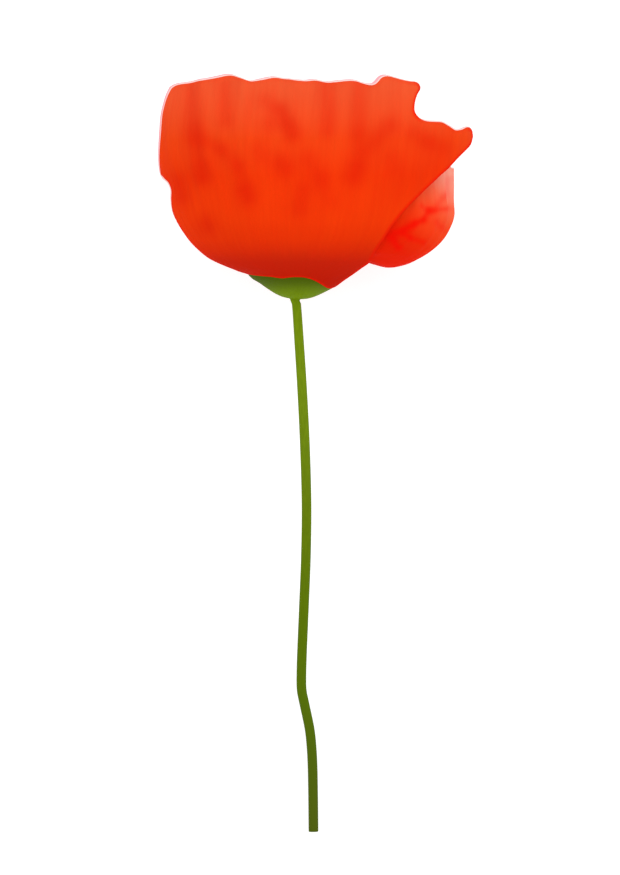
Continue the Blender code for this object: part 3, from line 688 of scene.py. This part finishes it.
def ribbed(spot):
    """The spot pushed out where a rib runs, and how much of a rib is there."""
    share = min(max((spot.y - 7.7) / (19.6 - 7.7), 0.0), 1.0)
    rib = max(math.cos(RAYS * math.atan2(spot.z, spot.x)), 0.0) ** 3
    push = 1 + 0.045 * math.sin(math.pi * share) * (rib - 0.2)
    return Vector((spot.x * push, spot.y, spot.z * push)), rib * math.sin(math.pi * share)


def rayed(spot):
    """The spot lifted where a ray runs from the middle of the cap, and how much of a ray is there."""
    radius = math.hypot(spot.x, spot.z)
    wave = math.cos(RAYS * math.atan2(spot.z, spot.x))
    on_top = min(max((spot.y - 19.9) / 0.4, 0.0), 1.0)
    slim = 1.5 + radius  # a ray is as wide at the rim as near the middle
    ray = max(wave, 0.0) ** slim * on_top
    lift = 0.6 * ray * min(radius / 1.2, 1.0)
    push = 1 + 0.055 * wave * min(radius / 5.0, 1.0)
    return Vector((spot.x * push, spot.y + lift, spot.z * push)), max(ray, 1 - radius / 0.9)


ovary = turned("seed_vessel", OVARY, 120, ribbed)
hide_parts("ovary")
stigma = turned("stigma", STIGMA, 200, rayed)
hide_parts("stigma_disc")

# %% [markdown]
# ## Stamens
# A poppy has well over a hundred stamens in a dense dark ring: thin filaments that bend outwards,
# each with a plump anther of two halves. One stamen has only a few dozen faces, because it is
# repeated so often. The golden angle spreads them evenly round the ring with no visible rows.

# %% One stamen
STAMENS = 150
GOLDEN_TURN = math.radians(137.508)
FILAMENT_STEPS = 4


def stamen(ring, length, root_lean, tip_lean, thickness):
    """Filament and anther in one mesh, standing up from the ring at this distance."""
    made = bmesh.new()
    bmesh.ops.create_circle(made, cap_ends=True, segments=5, radius=thickness)
    tip = made.faces[:]
    lean, bend = root_lean, (tip_lean - root_lean) / FILAMENT_STEPS
    bmesh.ops.rotate(made, verts=made.verts[:], matrix=Matrix.Rotation(lean, 3, "Y"))
    place = Vector((0.0, 0.0, 0.0))
    for _ in range(FILAMENT_STEPS):
        way = Vector((math.sin(lean), 0.0, math.cos(lean))) * (length / FILAMENT_STEPS)
        tip = bmesh.ops.extrude_discrete_faces(made, faces=tip)["faces"]
        verts = list({vertex for face in tip for vertex in face.verts})
        bmesh.ops.translate(made, verts=verts, vec=way)
        place = place + way
        bmesh.ops.rotate(made, verts=verts, cent=place, matrix=Matrix.Rotation(bend, 3, "Y"))
        lean += bend
    bmesh.ops.holes_fill(made, edges=made.edges[:])
    filament = len(made.verts)
    bmesh.ops.create_uvsphere(made, u_segments=8, v_segments=6, radius=1.0)
    made.verts.ensure_lookup_table()
    pod = made.verts[filament:]
    for vertex in pod:
        groove = 1 - 0.35 * max(0.0, 1 - abs(vertex.co.x) * 2.2)
        vertex.co = Vector((vertex.co.x * 0.62, vertex.co.y * 0.42 * groove, vertex.co.z * 1.15))
    bmesh.ops.rotate(made, verts=pod, matrix=Matrix.Rotation(lean, 3, "Y"))
    way = Vector((math.sin(lean), 0.0, math.cos(lean)))
    bmesh.ops.translate(made, verts=pod, vec=place + way * 0.6)
    for face in made.faces:
        face.material_index = int(all(vertex in set(pod) for vertex in face.verts))
    bmesh.ops.recalc_face_normals(made, faces=made.faces[:])
    bmesh.ops.translate(made, verts=made.verts[:], vec=(ring, 0.0, 7.0))
    return made


# %% The ring of stamens
def stamen_ring():
    chance = np.random.default_rng(5)
    whole = bmesh.new()
    for index in range(STAMENS):
        share = (index + 0.5) / STAMENS
        ring = 4.0 + 4.0 * math.sqrt(share)
        length = 9.6 + 4.2 * share + chance.normal(0, 0.7)
        root_lean = math.radians(4 + 34 * share + chance.normal(0, 3))
        tip_lean = root_lean + math.radians(8 + 26 * share + chance.normal(0, 6))
        one = stamen(ring, length, root_lean, tip_lean, 0.17)
        turn = Matrix.Rotation(index * GOLDEN_TURN + chance.normal(0, 0.05), 4, "Z")
        stand = HEAD @ Matrix.Rotation(-math.pi / 2, 4, "X") @ turn
        bmesh.ops.transform(one, matrix=stand, verts=one.verts[:])
        single = bpy.data.meshes.new("one_stamen")
        one.to_mesh(single)
        one.free()
        whole.from_mesh(single)
        bpy.data.meshes.remove(single)
    mesh = bpy.data.meshes.new("stamen_ring")
    whole.to_mesh(mesh)
    whole.free()
    mesh.shade_smooth()
    made = bpy.data.objects.new("stamen_ring", mesh)
    bpy.context.scene.collection.objects.link(made)
    return made


stamens = stamen_ring()
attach(stamens, "root")
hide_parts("stamens")
print("stamens:", len(stamens.data.polygons), "faces")

# %% [markdown]
# ## Materials: helpers
# Every colour here is made of nodes that read the petal's own facts or its own map, so the pattern
# stays on the surface. These helpers only save typing.

# %% Helpers for node trees
def new_material(name):
    made = bpy.data.materials.new(name)
    made.use_nodes = True
    return made, made.node_tree, made.node_tree.nodes["Principled BSDF"]


def node(tree, kind, **settings):
    made = tree.nodes.new(kind)
    for key, value in settings.items():
        setattr(made, key, value)
    return made


def fact(tree, name):
    return node(tree, "ShaderNodeAttribute", attribute_name=name).outputs["Fac"]


def maths(tree, operation, first, second=0.0, clamp=False):
    made = node(tree, "ShaderNodeMath", operation=operation, use_clamp=clamp)
    for socket, value in zip(made.inputs, (first, second)):
        if isinstance(value, (int, float)):
            socket.default_value = value
        else:
            tree.links.new(value, socket)
    return made.outputs[0]


def ranged(tree, value, low, high, to_low=0.0, to_high=1.0, kind="SMOOTHSTEP"):
    made = node(tree, "ShaderNodeMapRange", interpolation_type=kind)
    tree.links.new(value, made.inputs["Value"])
    for key, number in (("From Min", low), ("From Max", high), ("To Min", to_low), ("To Max", to_high)):
        made.inputs[key].default_value = number
    return made.outputs["Result"]


def mixed(tree, share, first, second, blend="MIX"):
    made = node(tree, "ShaderNodeMix", data_type="RGBA", blend_type=blend)
    for socket, value in ((made.inputs[0], share), (made.inputs[6], first), (made.inputs[7], second)):
        if isinstance(value, (int, float)):
            socket.default_value = value
        elif isinstance(value, tuple):
            socket.default_value = (*value, 1.0)
        else:
            tree.links.new(value, socket)
    return made.outputs[2]


def ramp(tree, value, stops):
    made = node(tree, "ShaderNodeValToRGB")
    while len(made.color_ramp.elements) < len(stops):
        made.color_ramp.elements.new(0.5)
    for element, (place, colour) in zip(made.color_ramp.elements, stops):
        element.position, element.color = place, (*colour, 1.0)
    tree.links.new(value, made.inputs["Fac"])
    return made.outputs["Color"]


def rgb(red, green, blue):
    """A colour given as it shows on a screen, from 0 to 255, in the linear values nodes use."""
    return tuple(
        v / 12.92 if v <= 0.04045 else ((v + 0.055) / 1.055) ** 2.4
        for v in (red / 255, green / 255, blue / 255)
    )


# %% [markdown]
# ## Crêpe veins
# All petals share one effect, so it is a node group: fine veins that run from the claw to the rim,
# stretched noise on the petal's own map, with broader soft streaks under them.

# %% The crêpe group
def crepe_group():
    group = bpy.data.node_groups.new("crepe", "ShaderNodeTree")
    for name, value in (("Veins a mm", 0.8), ("Seed", 0.0)):
        socket = group.interface.new_socket(name, in_out="INPUT", socket_type="NodeSocketFloat")
        socket.default_value = value
    for name in ("Veins", "Streaks", "Height"):
        group.interface.new_socket(name, in_out="OUTPUT", socket_type="NodeSocketFloat")
    inputs, outputs = node(group, "NodeGroupInput"), node(group, "NodeGroupOutput")
    parts = node(group, "ShaderNodeSeparateXYZ")
    group.links.new(node(group, "ShaderNodeUVMap", uv_map="petal").outputs[0], parts.inputs[0])

    def stretched(across_scale, along_scale, detail):
        at = node(group, "ShaderNodeCombineXYZ")
        group.links.new(maths(group, "MULTIPLY", parts.outputs[0], across_scale), at.inputs[0])
        group.links.new(maths(group, "MULTIPLY", parts.outputs[1], along_scale), at.inputs[1])
        group.links.new(inputs.outputs["Seed"], at.inputs[2])
        noise = node(group, "ShaderNodeTexNoise")
        noise.inputs["Scale"].default_value = 1.0
        noise.inputs["Detail"].default_value = detail
        group.links.new(at.outputs[0], noise.inputs["Vector"])
        return noise.outputs["Fac"], at, noise

    fine, at, noise = stretched(100.0, 4.5, 3.0)
    wide = maths(group, "MULTIPLY", parts.outputs[0], 100.0)
    group.links.new(maths(group, "MULTIPLY", wide, inputs.outputs["Veins a mm"]), at.inputs[0])
    veins = ranged(group, fine, 0.38, 0.68)
    soft, _, _ = stretched(22.0, 5.0, 1.0)
    streaks = ranged(group, soft, 0.3, 0.7)
    group.links.new(veins, outputs.inputs["Veins"])
    group.links.new(streaks, outputs.inputs["Streaks"])
    height = maths(group, "ADD", maths(group, "MULTIPLY", veins, 0.6), streaks)
    group.links.new(height, outputs.inputs["Height"])
    return group


crepe = crepe_group()


def crepe_in(tree, seed, veins=0.8):
    placed_group = node(tree, "ShaderNodeGroup", node_tree=crepe)
    placed_group.inputs["Veins a mm"].default_value = veins
    placed_group.inputs["Seed"].default_value = seed
    return placed_group.outputs


# %% [markdown]
# ## Petals: outside and inside
# The outside is orange-red at the rim, grows deeper down the cup, and is dark red at the claw: the
# colour ramps by how high each point shows in the view, partly the petal's own deeper red and
# partly painted shade, lighter towards the top and darker towards the base. Its margin is a thin
# line of pure red, and outside that runs a pale pink rim of painted glow, as a thin lit edge would
# show. Petals let some light through, so a translucent shader is mixed with the silky one. The
# inside is deeper, with the black blotch that a poppy has at the base of each petal.

# %% Petal materials
# The first two colours below are painted glow: the pale pink rim outside the red, as a thin lit edge shows.
PALE_GLOW = rgb(255, 226, 222)
PINK_GLOW = rgb(255, 178, 186)
BAND = rgb(240, 26, 5)


def petal_shader(tree, shader, colour, height, bump, through):
    lift = node(tree, "ShaderNodeBump")
    lift.inputs["Strength"].default_value = bump
    lift.inputs["Distance"].default_value = 0.00012
    tree.links.new(height, lift.inputs["Height"])
    tree.links.new(lift.outputs[0], shader.inputs["Normal"])
    tree.links.new(colour, shader.inputs["Base Color"])
    shader.inputs["Roughness"].default_value = 0.75
    shader.inputs["Specular IOR Level"].default_value = 0.01
    glow = node(tree, "ShaderNodeBsdfTranslucent")
    tree.links.new(colour, glow.inputs["Color"])
    both = node(tree, "ShaderNodeMixShader")
    both.inputs[0].default_value = through
    tree.links.new(shader.outputs[0], both.inputs[1])
    tree.links.new(glow.outputs[0], both.inputs[2])
    tree.links.new(both.outputs[0], tree.nodes["Material Output"].inputs["Surface"])


def outside(name, stops, deep, stroke_share, seed, band_share=1.0):
    made, tree, shader = new_material(name)
    crepe_out = crepe_in(tree, seed)
    colour = ramp(tree, ranged(tree, fact(tree, "run"), 0.0, 62.0, kind="LINEAR"), stops)
    veined = maths(tree, "MULTIPLY", crepe_out["Veins"], 0.10)
    colour = mixed(tree, veined, colour, deep)
    colour = mixed(tree, maths(tree, "MULTIPLY", crepe_out["Streaks"], 0.10), colour, deep)
    colour = mixed(tree, maths(tree, "MULTIPLY", fact(tree, "stroke"), stroke_share), colour, deep)
    edge, rim = fact(tree, "edge"), fact(tree, "rim")
    wide = ranged(tree, edge, 1.3, 0.2)
    narrow = maths(tree, "SUBTRACT", 1.0, ranged(tree, rim, 0.1, 0.55, 0.0, 0.85))
    band = maths(tree, "MULTIPLY", maths(tree, "MULTIPLY", wide, narrow), 0.8 * band_share)
    base_band = maths(tree, "MULTIPLY", ranged(tree, fact(tree, "base"), 0.9, 0.2), 0.8 * band_share)
    colour = mixed(tree, maths(tree, "MAXIMUM", band, base_band), colour, BAND)
    # Painted glow: a pale pink rim outside the red line.
    pale = mixed(tree, ranged(tree, edge, -0.42, -0.3), PINK_GLOW, PALE_GLOW)
    colour = mixed(tree, ranged(tree, edge, -0.02, -0.16), colour, pale)
    petal_shader(tree, shader, colour, crepe_out["Height"], 0.35, 0.2)
    return made


def inside(name, stops, seed):
    made, tree, shader = new_material(name)
    crepe_out = crepe_in(tree, seed, 1.0)
    colour = ramp(tree, ranged(tree, fact(tree, "run"), 0.0, 62.0, kind="LINEAR"), stops)
    colour = mixed(tree, maths(tree, "MULTIPLY", crepe_out["Veins"], 0.25), colour, rgb(170, 16, 8))
    ragged = maths(tree, "MULTIPLY", crepe_out["Veins"], 4.0)
    reach = maths(tree, "ADD", fact(tree, "base"), ragged)
    colour = mixed(tree, ranged(tree, reach, 13.5, 10.0), colour, rgb(28, 10, 26))
    edge = fact(tree, "edge")
    # Painted glow: the same pale rim along the free edge.
    colour = mixed(tree, ranged(tree, edge, -0.02, -0.2), colour, PALE_GLOW)
    petal_shader(tree, shader, colour, crepe_out["Height"], 0.5, 0.2)
    return made


# By height in the view: partly the petal's own deeper red at the claw, partly painted shade, lighter at the
# top and darker at the base.
FRONT_STOPS = [
    (0.08, rgb(202, 30, 8)), (0.16, rgb(213, 37, 10)), (0.21, rgb(230, 48, 8)),
    (0.26, rgb(241, 56, 7)), (0.34, rgb(245, 61, 8)), (0.54, rgb(242, 60, 9)),
    (0.70, rgb(240, 71, 20)), (0.94, rgb(239, 94, 51)),
]
RIGHT_STOPS = [
    (0.50, rgb(240, 36, 4)), (0.59, rgb(244, 50, 9)), (0.66, rgb(250, 70, 26)),
    (0.73, rgb(251, 92, 50)), (0.78, rgb(252, 114, 78)), (0.86, rgb(255, 174, 150)),
]
INSIDE_STOPS = [
    (0.00, rgb(200, 20, 10)), (0.30, rgb(232, 34, 10)), (0.60, rgb(244, 52, 14)),
    (0.98, rgb(246, 92, 44)),
]
DEEP = rgb(226, 28, 6)
inner = inside("petal_inside", INSIDE_STOPS, 3.0)
skins = {
    "petal_outer_front": outside("petal_front", FRONT_STOPS, DEEP, 0.75, 1.0),
    "petal_outer_back": outside("petal_back", FRONT_STOPS, DEEP, 0.0, 5.0),
    "petal_inner_right": outside("petal_right", RIGHT_STOPS, rgb(250, 14, 2), 0.9, 7.0, 0.4),
    "petal_inner_left": outside("petal_left", RIGHT_STOPS, rgb(236, 30, 6), 0.0, 9.0, 0.4),
}
for node_name, piece in petals.items():
    piece.data.materials.append(skins[node_name])
    piece.data.materials.append(inner)
print("petal materials:", [skin.name for skin in skins.values()])

# %% [markdown]
# ## Green parts
# The stem is yellow-green near the flower and darker towards its cut, and it is finely grooved
# along its length. The receptacle carries a painted shadow: it is painted darker right under the
# petals, where they would shade it. The cut shows the paler pith.

# %% Stem material
STEM_STOPS = [  # by distance from the neck, as a share of the stem
    (0.00, rgb(114, 140, 10)), (0.18, rgb(109, 134, 18)), (0.38, rgb(98, 120, 12)),
    (0.57, rgb(87, 110, 6)), (0.74, rgb(81, 104, 8)), (0.84, rgb(76, 96, 12)),
    (1.00, rgb(75, 87, 16)),
]
stem_skin, tree, shader = new_material("stem_green")
place = node(tree, "ShaderNodeTexCoord")
parts = node(tree, "ShaderNodeSeparateXYZ")
tree.links.new(place.outputs["Object"], parts.inputs[0])
neck_y = NECK.y * MM
down = ranged(tree, parts.outputs[1], neck_y, neck_y - 0.148, kind="LINEAR")
green = ramp(tree, down, STEM_STOPS)
# Painted shadow of the petals: the receptacle's top is painted darker just under them.
under = ranged(tree, parts.outputs[1], neck_y + 0.0002, neck_y + 0.0052)
green = mixed(tree, under, green, rgb(72, 90, 8))
stretch = node(tree, "ShaderNodeMapping")
stretch.inputs["Scale"].default_value = (2400.0, 60.0, 2400.0)
tree.links.new(place.outputs["Object"], stretch.inputs["Vector"])
grain = node(tree, "ShaderNodeTexNoise")
grain.inputs["Scale"].default_value = 1.0
grain.inputs["Detail"].default_value = 3.0
tree.links.new(stretch.outputs[0], grain.inputs["Vector"])
grooves = ranged(tree, grain.outputs["Fac"], 0.35, 0.65)
green = mixed(tree, maths(tree, "MULTIPLY", grooves, 0.22), green, rgb(70, 92, 6))
green = mixed(tree, fact(tree, "pith"), green, rgb(176, 190, 120))
tree.links.new(green, shader.inputs["Base Color"])
shader.inputs["Roughness"].default_value = 0.6
shader.inputs["Specular IOR Level"].default_value = 0.015
lift = node(tree, "ShaderNodeBump")
lift.inputs["Strength"].default_value = 0.4
lift.inputs["Distance"].default_value = 0.0001
tree.links.new(grooves, lift.inputs["Height"])
tree.links.new(lift.outputs[0], shader.inputs["Normal"])
stem.data.materials.append(stem_skin)

# %% [markdown]
# ## Ovary, stigma and stamens
# The ovary is pale grey-green with a waxy bloom, the stigma's rays are dark velvet, and the anthers
# are blue-black and dusted with violet pollen.

# %% Materials of the flower's middle
def speckled(name, first, second, scale, roughness, bump, ridge=None):
    made, tree, shader = new_material(name)
    place = node(tree, "ShaderNodeTexCoord")
    noise = node(tree, "ShaderNodeTexNoise")
    noise.inputs["Scale"].default_value = scale
    noise.inputs["Detail"].default_value = 4.0
    tree.links.new(place.outputs["Object"], noise.inputs["Vector"])
    share = ranged(tree, noise.outputs["Fac"], 0.35, 0.65)
    colour = mixed(tree, share, first, second)
    if ridge:
        colour = mixed(tree, ranged(tree, fact(tree, "ridge"), 0.15, 0.5), colour, ridge)
    tree.links.new(colour, shader.inputs["Base Color"])
    shader.inputs["Roughness"].default_value = roughness
    shader.inputs["Specular IOR Level"].default_value = 0.2
    lift = node(tree, "ShaderNodeBump")
    lift.inputs["Strength"].default_value = bump
    lift.inputs["Distance"].default_value = 0.0001
    tree.links.new(share, lift.inputs["Height"])
    tree.links.new(lift.outputs[0], shader.inputs["Normal"])
    return made


wax = speckled("ovary_wax", rgb(126, 148, 96), rgb(146, 166, 116), 900, 0.55, 0.3, rgb(172, 186, 146))
velvet = speckled("stigma_velvet", rgb(104, 92, 58), rgb(132, 116, 78), 2500, 0.9, 0.8, rgb(40, 16, 30))
ovary.data.materials.append(wax)
stigma.data.materials.append(velvet)
stamens.data.materials.append(speckled("filament", rgb(34, 14, 30), rgb(60, 24, 44), 800, 0.6, 0.2))
stamens.data.materials.append(speckled("anther", rgb(26, 24, 36), rgb(74, 70, 86), 3000, 0.85, 0.6))

# %% [markdown]
# ## Floor and light
# The picture's ground is pure white and has no shadow. A white floor under even light comes close
# and still shows where the flower rests: a bright sky all round, and one wide, soft lamp from the
# mouth's side, so that the bottom of the cup and the sides fall off a little.

# %% Floor, sky and lamp
ground = bmesh.new()
bmesh.ops.create_grid(ground, x_segments=1, y_segments=1, size=3.0)
floor_mesh = bpy.data.meshes.new("floor")
ground.to_mesh(floor_mesh)
ground.free()
floor = bpy.data.objects.new("floor", floor_mesh)
bpy.context.scene.collection.objects.link(floor)
floor_skin, tree, shader = new_material("floor_white")
shader.inputs["Base Color"].default_value = (0.5, 0.5, 0.5, 1.0)
shader.inputs["Roughness"].default_value = 0.9
shader.inputs["Specular IOR Level"].default_value = 0.0
shader.inputs["Emission Color"].default_value = (1.0, 1.0, 1.0, 1.0)
shader.inputs["Emission Strength"].default_value = 0.72
floor_mesh.materials.append(floor_skin)

sky = bpy.data.worlds.new("sky")
sky.use_nodes = True
sky.node_tree.nodes["Background"].inputs["Color"].default_value = (1.0, 1.0, 1.0, 1.0)
sky.node_tree.nodes["Background"].inputs["Strength"].default_value = 0.92
bpy.context.scene.world = sky

lamp = bpy.data.lights.new("lamp", "AREA")
lamp.shape = "DISK"
lamp.size = 1.2
lamp.energy = 7.0
lamp_object = bpy.data.objects.new("lamp", lamp)
lamp_object.location = (0.1, 0.7, 1.1)
aim = Vector((0.0, 0.05, 0.02)) - lamp_object.location
lamp_object.rotation_euler = aim.to_track_quat("-Z", "Y").to_euler()
bpy.context.scene.collection.objects.link(lamp_object)
bpy.context.scene.view_settings.view_transform = "Standard"
print("light:", lamp.energy, "W and a sky of 0.92")
